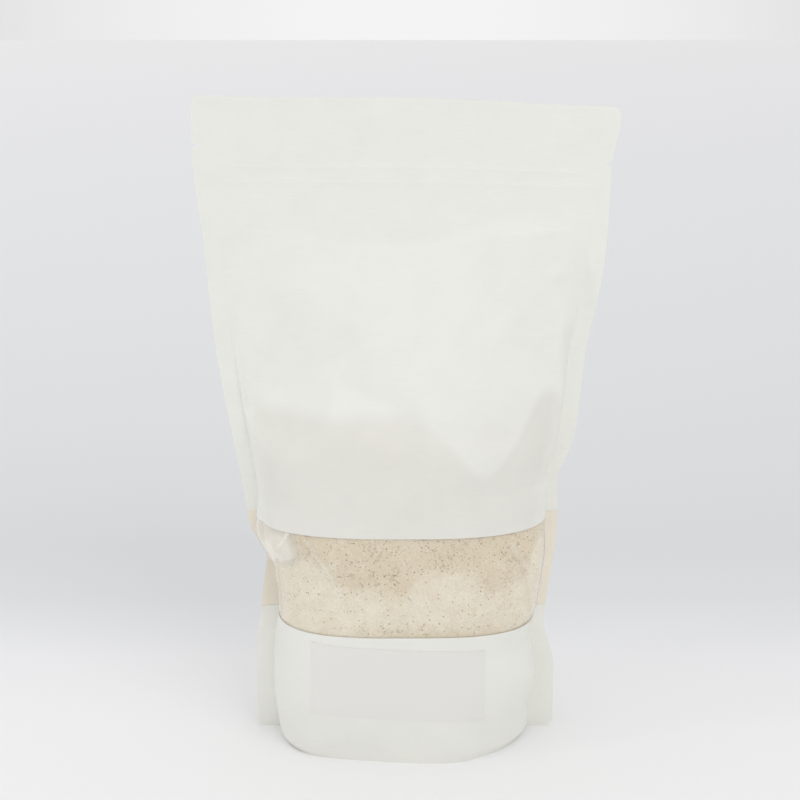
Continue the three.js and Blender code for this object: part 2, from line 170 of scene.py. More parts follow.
# Creases: from, to, rise, reach on the left of that line, reach on its right (all mm)
creases = {
    -1: [
        ((-79, 168), (-67, 104), -2.6, 6, 6),
        ((79, 200), (72, 150), -2.2, 6, 6)],
    1: [
        ((70, 250), (5, 186), 3.4, 12, 34),
        ((5, 186), (-70, 232), 2.6, 26, 14),
        ((5, 186), (-12, 120), 1.8, 22, 22)],
}
# Dents, and bulges where the rise is above zero: centre, reach across and up, rise
dents = {
    -1: [
        ((38, 149), (15, 12), 2.2),
        ((73, 232), (6, 4), 1.4),
        ((15, 0), (22, 18), 1.8),
        ((-33, 0), (20, 16), -2.4)],
    1: [
        ((44, 196), (20, 20), -3.0),
        ((-48, 182), (24, 18), -2.6)],
}


def creaseRise(crease, x, z):
    start, end, rise, left, right = crease
    run = np.array(end, float) - start
    length = np.hypot(*run)
    offX, offZ = x - start[0], z - start[1]
    along = (offX * run[0] + offZ * run[1]) / length
    across = (run[0] * offZ - run[1] * offX) / length
    past = np.maximum(0, np.maximum(-along, along - length))
    reach = np.where(across > 0, left, right)
    far = np.hypot(across / reach, past / (creasePast * (left + right)))
    return rise * np.maximum(0, 1 - far) ** creaseSharpness


def dentRise(dent, x, z):
    centre, reach, rise = dent
    return rise * np.exp(-((x - centre[0]) / reach[0]) ** 2 - ((z - centre[1]) / reach[1]) ** 2)


def facetDepth(name, x, z):
    placeX, placeZ, depth, across, up = facets[name]
    return depth + across * (x - placeX) + up * (z - placeZ)


def softMin(a, b):
    return (a + b - np.sqrt((a - b) ** 2 + creaseRadius ** 2)) / 2


def softMax(a, b):
    return -softMin(-a, -b)


def facetRise(x, z, smooth):  # how far the facets push the front in or out of its smooth depth
    lobe = softMin(facetDepth("lobe", x, z), facetDepth("lobeSide", x, z))
    lobe = softMin(lobe, softMin(facetDepth("lobeTop", x, z), facetDepth("lobeFoot", x, z)))
    flap = softMax(facetDepth("flap", x, z), facetDepth("flapFoot", x, z))
    hollow = softMax(facetDepth("hollow", x, z), facetDepth("hollowFoot", x, z))
    return softMin(softMax(smooth, lobe), softMin(softMax(flap, facetLeast), hollow)) - smooth


def foldRise(side, x, z):
    return sum(creaseRise(c, x, z) for c in creases[side]) + sum(dentRise(d, x, z) for d in dents[side])


def zipRelief(z):
    rises = [np.exp(-((z - height) / pouch["zipHalfWidth"]) ** 2) for height in pouch["zipHeights"]]
    return pouch["zipRise"] * sum(rises)


def fineRelief(side, x, z):  # slack and small buckles that a filled laminate keeps
    slack = 0.25 * layeredNoise(x, z, 30, 11 + 10 * side, 2)
    upper = smoothStep(168, 185, z) * (1 - smoothStep(262, 272, z))
    small = 0.07 * layeredNoise(x + z, z - x, 12, 31 + 10 * side, 2) * (0.4 + upper)
    return slack + small


def notchIn(side, z):  # how far a tear notch cuts in from the seam
    height = pouch["notchHeights"][0 if side < 0 else 1]
    return pouch["notchDepth"] * np.maximum(0, 1 - np.abs(z - height) / pouch["notchHalf"])


def panelRows(side, heights, inset, columns, sealColumns=0, relief=True):
    # One panel as rows of points from seam to seam, evenly spaced along its own curve
    z = np.asarray(heights, float)[:, None]
    radius = pouch["cornerRadius"]
    above = np.clip(z - (pouch["height"] - radius), 0, radius)
    cornerIn = radius - np.sqrt(radius ** 2 - above ** 2)
    left, right = innerEdges(z)
    middle, half = (left + right) / 2, (right - left) / 2
    left, right = cornerIn + notchIn(-1, z) - leftReach(z), rightReach(z) - cornerIn - notchIn(1, z)
    angle = np.linspace(-math.pi / 2, math.pi / 2, 721)[None, :]
    corner = pouch["footCorner"]
    slim = (1 - smoothStep(0, corner["top"], z)) * smoothStep(0, 0.5, angle)
    reach = np.abs(np.sin(angle)) ** (2 / (bulgeAt(z) - corner["bulge"] * slim))
    x = middle + np.sign(angle) * (half - inset) * reach
    crown = np.maximum(0, np.cos(angle)) ** (2 * (edgeAt(z) + corner["edge"] * slim))
    fadeIn, fadeOut = pouch["puffFades"]
    weight = smoothStep(*fadeIn, z) * (1 - smoothStep(*fadeOut, z))
    shift = (puffEdgeAt(x) - pouch["puffEdgeMean"]) * weight if side < 0 else 0
    depth = depthCurves[side](z - shift)
    freed = smoothStep(0, 0.35, crown) * smoothStep(2, 12, depth)
    held = smoothStep(0, 0.2, crown)
    facet = facetRise(x, z, depth * crown) * held * smoothStep(0.8, 5, depth) if side < 0 else 0
    inner = inset * np.maximum(crown, smoothStep(0, 4, -facet))
    y = np.maximum(0, depth * crown + facet - inner) + foldRise(side, x, z) * freed
    y = y + zipRelief(z) * held
    if relief:
        y = y + fineRelief(side, x, z) * smoothStep(0, 0.5, crown)
    y = side * (max(0.03, pouch["sealHalf"] - inset) + y)
    rowsX, rowsY = [], []
    for k in range(len(z)):
        lengths = np.concatenate([[0], np.cumsum(np.hypot(np.diff(x[k]), np.diff(y[k])))])
        at = np.linspace(0, lengths[-1], columns + 1)
        lineX, lineY = np.interp(at, lengths, x[k]), np.interp(at, lengths, y[k])
        if sealColumns:
            flat = np.linspace(0, 1, sealColumns + 1)[:-1]
            leftX = left[k, 0] + (lineX[0] - left[k, 0]) * flat
            rightX = right[k, 0] + (lineX[-1] - right[k, 0]) * flat
            edge = np.full(sealColumns, side * max(0.03, pouch["sealHalf"] - inset))
            lineX = np.concatenate([leftX, lineX, rightX[::-1]])
            lineY = np.concatenate([edge, lineY, edge])
        rowsX.append(lineX)
        rowsY.append(lineY)
    rowsX, rowsY = np.array(rowsX), np.array(rowsY)
    return settled(rowsX, rowsY, np.broadcast_to(z, rowsX.shape))


def settled(x, y, z):  # the header bows, waves and tilts, and the seals' fins bend a little
    high = smoothStep(215, pouch["height"], z)
    wave = pouch["topWave"] * np.sin(x / 26 + 1.2) - pouch["topTilt"] * x
    left, right = innerEdges(z)
    out = smoothStep(-1, 9, np.maximum(left - x, x - right))
    bend = pouch["finBend"] * np.sin(z / 17 + np.where(x < 0, 0.4, 2.6)) * out * (1 - high)
    y = y + pouch["headerBow"] * high * np.sin(x / 48 + 0.6) + bend
    return np.stack([x, y, z + wave * high], -1)


# The solids stand a little off these sizes' own origin, as the film's box says
filmLow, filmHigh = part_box("window_film")
bandRows = np.linspace(*pouch["window"], 8)
solidSealHalf, solidFilm = 0.6, 0.5  # the solids' own half seal and film, mm
frameShift = np.array([
    filmLow.x / mm + leftReach(bandRows).max(),
    filmHigh.y / mm + solidSealHalf - solidFilm,
    0])
print("frame shift, mm:", frameShift.round(3))


def sheetMesh(name, outer, inner, flip=False, values=None, uv=None):
    # A thin closed body between two grids of points; values are named numbers for each point
    rows, columns = outer.shape[:2]
    points = (np.concatenate([outer.reshape(-1, 3), inner.reshape(-1, 3)]) + frameShift) * mm
    index = np.arange(rows * columns).reshape(rows, columns)
    under = index + rows * columns

    def strip(a, b, c, d):
        return np.stack([a.ravel(), b.ravel(), c.ravel(), d.ravel()], -1)

    quads = np.concatenate([
        strip(index[:-1, :-1], index[:-1, 1:], index[1:, 1:], index[1:, :-1]),
        strip(under[:-1, :-1], under[1:, :-1], under[1:, 1:], under[:-1, 1:]),
        strip(index[0, :-1], under[0, :-1], under[0, 1:], index[0, 1:]),
        strip(index[-1, :-1], index[-1, 1:], under[-1, 1:], under[-1, :-1]),
        strip(index[:-1, 0], index[1:, 0], under[1:, 0], under[:-1, 0]),
        strip(index[:-1, -1], under[:-1, -1], under[1:, -1], index[1:, -1])])
    if flip:
        quads = quads[:, ::-1]
    mesh = bpy.data.meshes.new(name)
    mesh.from_pydata(points.tolist(), [], quads.tolist())
    mesh.polygons.foreach_set("use_smooth", [True] * len(quads))
    for key, numbers in (values or {}).items():
        both = np.concatenate([numbers.ravel(), numbers.ravel()]).astype(np.float32)
        mesh.attributes.new(key, "FLOAT", "POINT").data.foreach_set("value", both)
    if uv is not None:
        corners = np.zeros(len(mesh.loops), int)
        mesh.loops.foreach_get("vertex_index", corners)
        flat = np.concatenate([uv.reshape(-1, 2)] * 2) * mm
        mesh.uv_layers.new(name="panel").data.foreach_set("uv", flat[corners].ravel().astype(np.float32))
    mesh.set_sharp_from_angle(angle=math.radians(50))
    piece = bpy.data.objects.new(name, mesh)
    scene.collection.objects.link(piece)
    return piece


def panelUv(grid, heights):  # distance along the panel from its middle, and height
    steps = np.hypot(np.diff(grid[..., 0], axis=1), np.diff(grid[..., 1], axis=1))
    along = np.concatenate([np.zeros((len(grid), 1)), np.cumsum(steps, 1)], 1)
    along = along - along[:, -1:] / 2
    return np.stack([along, np.broadcast_to(np.asarray(heights, float)[:, None], along.shape)], -1)


# How closely the flour is pressed to the paper, by height
pressedAt = curveThrough([
    (0, 0.3), (20, 0.15), (40, 0.05), (65, 0.05), (114, 0.75), (130, 0.9), (180, 0.9)])


def flourBehind(side, grid):  # 1 where flour lies against the paper, uneven along its level
    x, z = grid[..., 0], grid[..., 2]
    level = fillAt(x) if side < 0 else 168 + 4 * np.sin(x / 30)
    level = level + 1.6 * layeredNoise(x, z, 14, 71)
    left, right = innerEdges(z)
    inside = smoothStep(2, 10, np.minimum(x - left, right - x))
    patchy = 0.85 + 0.15 * layeredNoise(x, z, 22, 91)
    backed = (1 - smoothStep(-4, 5, z - level)) * inside * patchy * pressedAt(z)
    if side > 0:
        return backed
    pocket = 0.4 * np.exp(-((x - 38) / 22) ** 2 - ((z - 160) / 16) ** 2)  # the paper is made darker over the air pocket as well
    return np.maximum(backed, pocket)


def packedHeights(low, high, step, fine=()):
    # Heights from low to high, closer together round each (centre, reach, step) of fine
    heights = [np.linspace(low, high, max(2, round((high - low) / step) + 1))]
    heights += [np.arange(c - reach, c + reach + 0.001, closer) for c, reach, closer in fine]
    heights = np.unique(np.concatenate(heights).round(2))
    heights = heights[(heights >= low) & (heights <= high)]
    keep = np.concatenate([[True], np.diff(heights) > 0.15])
    return heights[keep]


print("forms ready")


# Materials

def linear(hexText):
    parts = [int(hexText[k:k + 2], 16) / 255 for k in (0, 2, 4)]
    return [c / 12.92 if c <= 0.04045 else ((c + 0.055) / 1.055) ** 2.4 for c in parts] + [1]


def put(tree, kind, inputs=None, **settings):  # adds a node with its settings, values and links
    made = tree.nodes.new(kind)
    for key, value in settings.items():
        setattr(made, key, value)
    for key, value in (inputs or {}).items():
        if isinstance(value, bpy.types.NodeSocket):
            tree.links.new(value, made.inputs[key])
        else:
            made.inputs[key].default_value = value
    return made


def newMaterial(name):
    material = bpy.data.materials.new(name)
    material.use_nodes = True
    material.node_tree.nodes.clear()
    return material, material.node_tree


def ramp(tree, value, low, high):  # maps low..high to 0..1
    return put(tree, "ShaderNodeMapRange", {
        "Value": value, "From Min": low, "From Max": high}, clamp=True).outputs["Result"]


ricePaper = {
    "white": "F1F1EB",
    "overFlour": "E6E4DC",
    "cloudSize": 16,  # mm
    "fibreLength": 7,
    "fibreWidth": 0.7,
    "grain": 0.5,
}


def makeRicePaper():
    # White rice paper laminated to film, matt: soft cloudy fibres, warmer where flour backs it
    material, tree = newMaterial("ricePaperLaminate")
    uv = put(tree, "ShaderNodeUVMap", uv_map="panel").outputs["UV"]
    flour = put(tree, "ShaderNodeAttribute", attribute_name="flourBehind").outputs["Fac"]
    clouds = put(tree, "ShaderNodeTexNoise", {
        "Vector": uv, "Scale": 1 / (ricePaper["cloudSize"] * mm), "Detail": 4.0}).outputs["Fac"]
    stretched = put(tree, "ShaderNodeMapping", {
        "Vector": uv, "Rotation": (0, 0, 0.5),
        "Scale": (1 / (ricePaper["fibreLength"] * mm), 1 / (ricePaper["fibreWidth"] * mm), 1)})
    fibres = put(tree, "ShaderNodeTexNoise", {
        "Vector": stretched.outputs["Vector"], "Scale": 1.0, "Detail": 3.0,
        "Distortion": 0.6}).outputs["Fac"]
    grain = put(tree, "ShaderNodeTexNoise", {
        "Vector": uv, "Scale": 1 / (ricePaper["grain"] * mm), "Detail": 2.0}).outputs["Fac"]
    backed = put(tree, "ShaderNodeMix", {
        "Factor": flour, "A": linear(ricePaper["white"]), "B": linear(ricePaper["overFlour"])},
        data_type="RGBA")
    mottle = put(tree, "ShaderNodeMath", {0: ramp(tree, clouds, 0.3, 0.7), 1: 0.025}, operation="MULTIPLY")
    fibreTone = put(tree, "ShaderNodeMath", {
        0: ramp(tree, fibres, 0.3, 0.7), 1: 0.02, 2: mottle.outputs[0]}, operation="MULTIPLY_ADD")
    value = put(tree, "ShaderNodeMath", {0: 1.02, 1: fibreTone.outputs[0]}, operation="SUBTRACT")
    toned = put(tree, "ShaderNodeHueSaturation", {
        "Color": backed.outputs[2], "Value": value.outputs[0]})
    height = put(tree, "ShaderNodeMath", {0: fibres, 1: 0.6, 2: grain}, operation="MULTIPLY_ADD")
    bump = put(tree, "ShaderNodeBump", {
        "Height": height.outputs[0], "Strength": 0.12, "Distance": 0.1 * mm})
    shader = put(tree, "ShaderNodeBsdfPrincipled", {
        "Base Color": toned.outputs["Color"], "Roughness": 0.62, "IOR": 1.45,
        "Specular IOR Level": 0.35, "Normal": bump.outputs["Normal"]})
    put(tree, "ShaderNodeOutputMaterial", {"Surface": shader.outputs["BSDF"]})
    return material


flourLook = {
    "pressed": "F9F4E5",
    "loose": "E7DBC4",
    # the cracks' colour is painted shadow in them
    "crack": "B09C7C",
    "lump": 7,  # mm
    "crumb": 1.2,
    "crackCell": 5,
}


def makeFlourPowder():
    # Stone-milled flour behind film: matt and creamy, paler where pressed flat, darker where crumbly, with
    # painted shadow in thin cracks
    material, tree = newMaterial("flourPowder")
    place = put(tree, "ShaderNodeTexCoord").outputs["Object"]
    loose = put(tree, "ShaderNodeAttribute", attribute_name="loose").outputs["Fac"]
    lumps = put(tree, "ShaderNodeTexNoise", {
        "Vector": place, "Scale": 1 / (flourLook["lump"] * mm), "Detail": 5.0,
        "Roughness": 0.62}).outputs["Fac"]
    crumbs = put(tree, "ShaderNodeTexNoise", {
        "Vector": place, "Scale": 1 / (flourLook["crumb"] * mm), "Detail": 3.0,
        "Roughness": 0.7}).outputs["Fac"]
    mottle = put(tree, "ShaderNodeMath", {0: ramp(tree, lumps, 0.35, 0.65), 1: 0.4}, operation="MULTIPLY")
    grainy = put(tree, "ShaderNodeMath", {
        0: ramp(tree, crumbs, 0.4, 0.65), 1: 0.45, 2: mottle.outputs[0]}, operation="MULTIPLY_ADD")
    tone = put(tree, "ShaderNodeMath", {
        0: loose, 1: 0.6, 2: grainy.outputs[0]}, operation="MULTIPLY_ADD", use_clamp=True)
    body = put(tree, "ShaderNodeMix", {
        "Factor": tone.outputs[0], "A": linear(flourLook["pressed"]), "B": linear(flourLook["loose"])},
        data_type="RGBA")
    # thin cracks run where a wandering noise crosses its middle, in patches, mostly in loose flour; their
    # dark colour is painted shadow in the cracks
    wander = put(tree, "ShaderNodeTexNoise", {
        "Vector": place, "Scale": 1 / (flourLook["crackCell"] * mm), "Detail": 4.0,
        "Distortion": 0.4}).outputs["Fac"]
    patches = put(tree, "ShaderNodeTexNoise", {
        "Vector": place, "Scale": 1 / (11 * mm), "Detail": 1.0}).outputs["Fac"]
    offMiddle = put(tree, "ShaderNodeMath", {0: wander, 1: 0.5, 2: 0.012}, operation="COMPARE").outputs[0]
    crackShadeLines = put(tree, "ShaderNodeMath", {
        0: offMiddle, 1: ramp(tree, patches, 0.48, 0.6)}, operation="MULTIPLY").outputs[0]
    weight = put(tree, "ShaderNodeMath", {0: loose, 1: 0.5, 2: 0.1}, operation="MULTIPLY_ADD").outputs[0]
    crack = put(tree, "ShaderNodeMath", {0: crackShadeLines, 1: weight}, operation="MULTIPLY").outputs[0]
    crackShaded = put(tree, "ShaderNodeMix", {
        "Factor": crack, "A": body.outputs[2], "B": linear(flourLook["crack"])}, data_type="RGBA")
    height = put(tree, "ShaderNodeMath", {0: crumbs, 1: 0.35, 2: lumps}, operation="MULTIPLY_ADD")
    bump = put(tree, "ShaderNodeBump", {"Height": height.outputs[0], "Strength": 0.5, "Distance": 0.8 * mm})
    shader = put(tree, "ShaderNodeBsdfPrincipled", {
        "Base Color": crackShaded.outputs[2], "Roughness": 1.0, "Specular IOR Level": 0.1,
        "Normal": bump.outputs["Normal"]})
    put(tree, "ShaderNodeOutputMaterial", {"Surface": shader.outputs["BSDF"]})
    return material


def makeBran():
    # Flakes of wheat bran: matt, golden brown
    material, tree = newMaterial("wheatBran")
    shader = put(tree, "ShaderNodeBsdfPrincipled", {"Base Color": linear("8A6C48"), "Roughness": 0.85})
    put(tree, "ShaderNodeOutputMaterial", {"Surface": shader.outputs["BSDF"]})
    return material


clearFilm = {"tint": "FBF6EA", "sealed": "F3ECDD", "haze": 0.02, "hazeAndHighlightPerMm": 0.28, "sealHaze": 3.4}


def makeClearFilm():
    # Clear polyester film: glossy, nearly colourless, cream in the seals, and made milky white where it
    # stands off the flour, a painted highlight
    material, tree = newMaterial("clearPolyesterFilm")
    lifted = put(tree, "ShaderNodeAttribute", attribute_name="standOff").outputs["Fac"]
    creamy = put(tree, "ShaderNodeMix", {
        "Factor": ramp(tree, lifted, 2.8, clearFilm["sealHaze"]),
        "A": linear(clearFilm["tint"]), "B": linear(clearFilm["sealed"])}, data_type="RGBA")
    gloss = put(tree, "ShaderNodeBsdfPrincipled", {
        "Base Color": creamy.outputs[2], "Roughness": 0.14, "IOR": 1.5})
    through = put(tree, "ShaderNodeBsdfTransparent", {"Color": (1, 1, 1, 1)})
    behind = put(tree, "ShaderNodeNewGeometry").outputs["Backfacing"]
    bend = put(tree, "ShaderNodeMath", {0: behind, 1: 1 / 1.5 - 1.5, 2: 1.5}, operation="MULTIPLY_ADD")
    fresnel = put(tree, "ShaderNodeFresnel", {"IOR": bend.outputs[0]})
    # a faint base haze, plus milkiness by how far the film stands off the flour: painted highlight there;
    # in the seals it makes them cream
    hazeAndHighlight = put(tree, "ShaderNodeMath", {
        0: lifted, 1: clearFilm["hazeAndHighlightPerMm"], 2: clearFilm["haze"]}, operation="MULTIPLY_ADD")
    share = put(tree, "ShaderNodeMath", {0: fresnel.outputs[0], 1: hazeAndHighlight.outputs[0]}, operation="ADD",
                use_clamp=True)
    mixed = put(tree, "ShaderNodeMixShader", {
        0: share.outputs[0], 1: through.outputs[0], 2: gloss.outputs[0]})
    put(tree, "ShaderNodeOutputMaterial", {"Surface": mixed.outputs[0]})
    return material


stickerLook = {"white": "EDEBE6", "grain": 0.8}


def makeStickerPaper():
    # Coated label stock: smooth, satin, a touch brighter than the paper under it
    material, tree = newMaterial("coatedLabelStock")
    place = put(tree, "ShaderNodeTexCoord").outputs["Object"]
    grain = put(tree, "ShaderNodeTexNoise", {
        "Vector": place, "Scale": 1 / (stickerLook["grain"] * mm), "Detail": 2.0}).outputs["Fac"]
    bump = put(tree, "ShaderNodeBump", {"Height": grain, "Strength": 0.05, "Distance": 0.05 * mm})
    shader = put(tree, "ShaderNodeBsdfPrincipled", {
        "Base Color": linear(stickerLook["white"]), "Roughness": 0.42, "IOR": 1.5,
        "Normal": bump.outputs["Normal"]})
    put(tree, "ShaderNodeOutputMaterial", {"Surface": shader.outputs["BSDF"]})
    return material


materials = {
    "paper": makeRicePaper(),
    "flour": makeFlourPowder(),
    "bran": makeBran(),
    "film": makeClearFilm(),
    "sticker": makeStickerPaper(),
}
print("materials ready")


def dress(piece, slot, *nodes):  # finish, body, and the solids that the piece stands for
    if not piece.data.materials:
        piece.data.materials.append(materials[slot])
    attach(piece, "root")
    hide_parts(*nodes)
    return piece


# Paper panels

panels = {"columns": 150, "backColumns": 128, "sealColumns": 7, "step": 1.15, "backStep": 1.5}
zipFine = [(height, 2.4, 0.5) for height in pouch["zipHeights"]]
notchFine = [(height, 1.6, 0.4) for height in pouch["notchHeights"]]
cornerFine = [(pouch["height"] - 2, 2, 0.5)]
headerFine = zipFine + notchFine + cornerFine


def makePanel(name, side, low, high, step, columns, fine=()):
    heights = packedHeights(low, high, step, fine)
    outer = panelRows(side, heights, 0, columns, panels["sealColumns"])
    inner = panelRows(side, heights, pouch["sheet"], columns, panels["sealColumns"])
    values = {"flourBehind": flourBehind(side, outer)}
    piece = sheetMesh(name, outer, inner, side > 0, values, panelUv(outer, heights))
    return dress(piece, "paper", "pouch")


windowLow, windowHigh = pouch["window"]
makePanel("paperFrontUpper", -1, windowHigh, pouch["height"], panels["step"], panels["columns"], headerFine)
makePanel("paperFrontLower", -1, 0, windowLow, panels["step"], panels["columns"])
makePanel("paperBack", 1, 0, pouch["height"], panels["backStep"], panels["backColumns"], headerFine)
print("paper panels made")


# Gusset: the folded base between the panels, up a groove inside the lip and down to the floor

gusset = {
    "spine": 42,
    "inward": (0.02, 0.03, 0.045, 0.06, 0.09, 0.13, 0.17, 0.22, 0.28, 0.35, 0.42, 0.6, 0.8, 1.0),
    "rise": [(0, 0), (0.02, 1), (0.045, 5), (0.09, 6), (0.17, 4.6), (0.35, 0.3), (0.42, 0.02), (1, 0.02)],
}


def makeGusset():
    edges = [panelRows(side, [0], pouch["sheet"], panels["columns"], relief=False)[0] for side in (-1, 1)]
    riseAt = curveThrough(gusset["rise"])
    spineX = np.clip((edges[0][:, 0] + edges[1][:, 0]) / 2, -gusset["spine"], gusset["spine"])
    rows = []
    for edge, shares in ((edges[0], gusset["inward"]), (edges[1], gusset["inward"][-2::-1])):
        for share in shares:
            row = edge.copy()
            row[:, 0] += (spineX - edge[:, 0]) * share
            row[:, 1] *= 1 - share
            row[:, 2] = riseAt(share) * (1 - smoothStep(51, 57, np.abs(edge[:, 0])))
            rows.append(row)
    outer = np.array(rows)
    inner = outer + [0, 0, pouch["sheet"]]
    uv = outer[..., :2].copy()
    values = {"flourBehind": np.full(outer.shape[:2], 0.9)}
    return dress(sheetMesh("paperGusset", outer, inner, True, values, uv), "paper", "pouch")


makeGusset()
print("gusset made")


# Flour: a core that fills the pouch, finely uneven where the film shows it

flourCore = {
    "floor": 8.5,
    "columns": 300,
    "step": 6,
    "bandStep": 0.55,
    "inset": 1.1,
    "topInset": 1.6,  # more of it near the top, and narrower there, clear of the paper's creases
    "topNarrower": 0.15,
    "touch": 0.55,
    "lumps": 0.5,
    # where the flour behind the film turns from pressed flat to loose, by place across it
    "looseFrom": [
        (-60, 107), (-46, 104), (-36, 99), (-28, 88), (-8, 85), (2, 92), (14, 99), (30, 96),
        (42, 88), (54, 92), (64, 106)],
    # cracks: from, to, rise, reach on each side
    "cracks": [
        ((-41, 98), (-33, 93), -0.5, 0.7, 0.7),
        ((-49, 108), (-47, 101), -0.4, 0.7, 0.7),
        ((47, 94), (55, 104), -0.5, 0.8, 0.8),
        ((44, 82), (57, 88), -0.5, 0.8, 0.8),
        ((38, 74), (46, 78), -0.45, 0.8, 0.8),
        ((8, 100), (19, 97), -0.35, 0.7, 0.7)],
}
looseFromAt = curveThrough(flourCore["looseFrom"])


def looseness(x, z):  # 1 where the flour is crumbly behind the film, 0 where it is pressed flat
    edge = looseFromAt(x) + 7 * layeredNoise(x, z, 11, 301)
    strip = np.exp(-((x - 14) / 34) ** 2 - ((z - 66) / 5) ** 2)
    return np.clip(smoothStep(-4, 5, z - edge) + strip, 0, 1)


def flourRelief(x, z):
    low, high = pouch["window"]
    band = smoothStep(low - 3, low, z) * (1 - smoothStep(high, high + 3, z))
    broad = 0.5 + 0.5 * layeredNoise(x, z * 1.6, 17, 5)
    crumbs = (0.5 + 0.5 * layeredNoise(x, z, 2.6, 15)) * (0.35 + 0.65 * looseness(x, z))
    wander = 1.2 * layeredNoise(x, z, 5, 401)
    cracks = sum(creaseRise(crack, x + wander, z - wander) for crack in flourCore["cracks"])
    uneven = flourCore["lumps"] * (0.5 * broad + 0.5 * crumbs)
    return band * (flourCore["inset"] - flourCore["touch"] - uneven + cracks)


def makeFlour():
    low, high = pouch["window"]
    band = ((low + high) / 2, 28, flourCore["bandStep"])
    heights = packedHeights(flourCore["floor"], 170, flourCore["step"], [band])
    grids = {}
    topward = smoothStep(118, 170, heights)
    for side in (-1, 1):
        grid = panelRows(side, heights, flourCore["inset"], flourCore["columns"], relief=False)
        lifted = heights[:, None] + (fillAt(grid[-1:, :, 0]) - 170) * topward[:, None]
        for k in np.flatnonzero(heights > 118):
            inset = flourCore["inset"] + flourCore["topInset"] * topward[k]
            fresh = panelRows(side, lifted[k], inset, flourCore["columns"], relief=False)
            grid[k] = np.diagonal(fresh).T * [1, 1 - flourCore["topNarrower"] * topward[k], 1]
        if side < 0:
            grid[..., 1] -= flourRelief(grid[..., 0], grid[..., 2])
        grids[side] = grid
    values = {"loose": looseness(grids[-1][..., 0], grids[-1][..., 2])}
    dress(sheetMesh("flourCore", grids[-1], grids[1], values=values), "flour", "flour")
    shown = (heights > low + 1) & (heights < high - 1)
    return grids[-1][shown]


flourFront = makeFlour()
print("flour made")


# Bran flakes and crumbs, strewn over the flour that the film shows

grains = {
    "branFlakes": {"finish": "bran", "seed": 7, "perSquareCm": 16, "radius": 0.34, "flatness": 0.35},
    "flourCrumbs": {"finish": "flour", "seed": 19, "perSquareCm": 50, "radius": 0.5, "flatness": 0.5},
}


def grainTree():
    # Small flat grains on a surface, lying along it, more of them where its "loose" value is high
    tree = bpy.data.node_groups.new("strewnGrains", "GeometryNodeTree")
    for name, kind in (("Surface", "Geometry"), ("Per Square Metre", "Float"), ("Radius", "Float"),
                       ("Flatness", "Float"), ("Seed", "Int"), ("Material", "Material")):
        tree.interface.new_socket(name, in_out="INPUT", socket_type="NodeSocket" + kind)
    tree.interface.new_socket("Grains", in_out="OUTPUT", socket_type="NodeSocketGeometry")
    given = put(tree, "NodeGroupInput").outputs
    loose = put(tree, "GeometryNodeInputNamedAttribute", {"Name": "loose"}, data_type="FLOAT")
    share = put(tree, "ShaderNodeMath", {
        0: loose.outputs["Attribute"], 1: 0.75, 2: 0.25}, operation="MULTIPLY_ADD")
    density = put(tree, "ShaderNodeMath", {
        0: share.outputs[0], 1: given["Per Square Metre"]}, operation="MULTIPLY")
    points = put(tree, "GeometryNodeDistributePointsOnFaces", {
        "Mesh": given["Surface"], "Density": density.outputs[0], "Seed": given["Seed"]},
        distribute_method="RANDOM")
    ball = put(tree, "GeometryNodeMeshIcoSphere", {"Radius": given["Radius"], "Subdivisions": 2})
    turn = put(tree, "FunctionNodeRandomValue", {
        "Min": (0, 0, 0), "Max": (0, 0, 6.28), "Seed": given["Seed"]}, data_type="FLOAT_VECTOR")
    turned = put(tree, "FunctionNodeRotateRotation", {
        "Rotation": points.outputs["Rotation"], "Rotate By": turn.outputs[0]}, rotation_space="LOCAL")
    spread = put(tree, "FunctionNodeRandomValue", {
        "Min": (0.5, 0.3, 0.6), "Max": (1.3, 0.9, 1.0), "Seed": given["Seed"]}, data_type="FLOAT_VECTOR")
    flatten = put(tree, "ShaderNodeCombineXYZ", {"X": 1.0, "Y": 1.0, "Z": given["Flatness"]})
    size = put(tree, "ShaderNodeVectorMath", {
        0: spread.outputs[0], 1: flatten.outputs[0]}, operation="MULTIPLY")
    strewn = put(tree, "GeometryNodeInstanceOnPoints", {
        "Points": points.outputs["Points"], "Instance": ball.outputs["Mesh"],
        "Rotation": turned.outputs[0], "Scale": size.outputs[0]})
    real = put(tree, "GeometryNodeRealizeInstances", {"Geometry": strewn.outputs["Instances"]})
    finished = put(tree, "GeometryNodeSetMaterial", {
        "Geometry": real.outputs["Geometry"], "Material": given["Material"]})
    put(tree, "NodeGroupOutput", {"Grains": finished.outputs["Geometry"]})
    return tree


def flourSurface():  # the flour's front face in the window, as an open grid
    rows, columns = flourFront.shape[:2]
    index = np.arange(rows * columns).reshape(rows, columns)
    faces = np.stack([index[:-1, :-1], index[:-1, 1:], index[1:, 1:], index[1:, :-1]], -1).reshape(-1, 4)
    mesh = bpy.data.meshes.new("flourSurface")
    mesh.from_pydata(((flourFront.reshape(-1, 3) + frameShift) * mm).tolist(), [], faces.tolist())
    loose = looseness(flourFront[..., 0], flourFront[..., 2]).ravel()
    mesh.attributes.new("loose", "FLOAT", "POINT").data.foreach_set("value", loose.astype(np.float32))
    return mesh


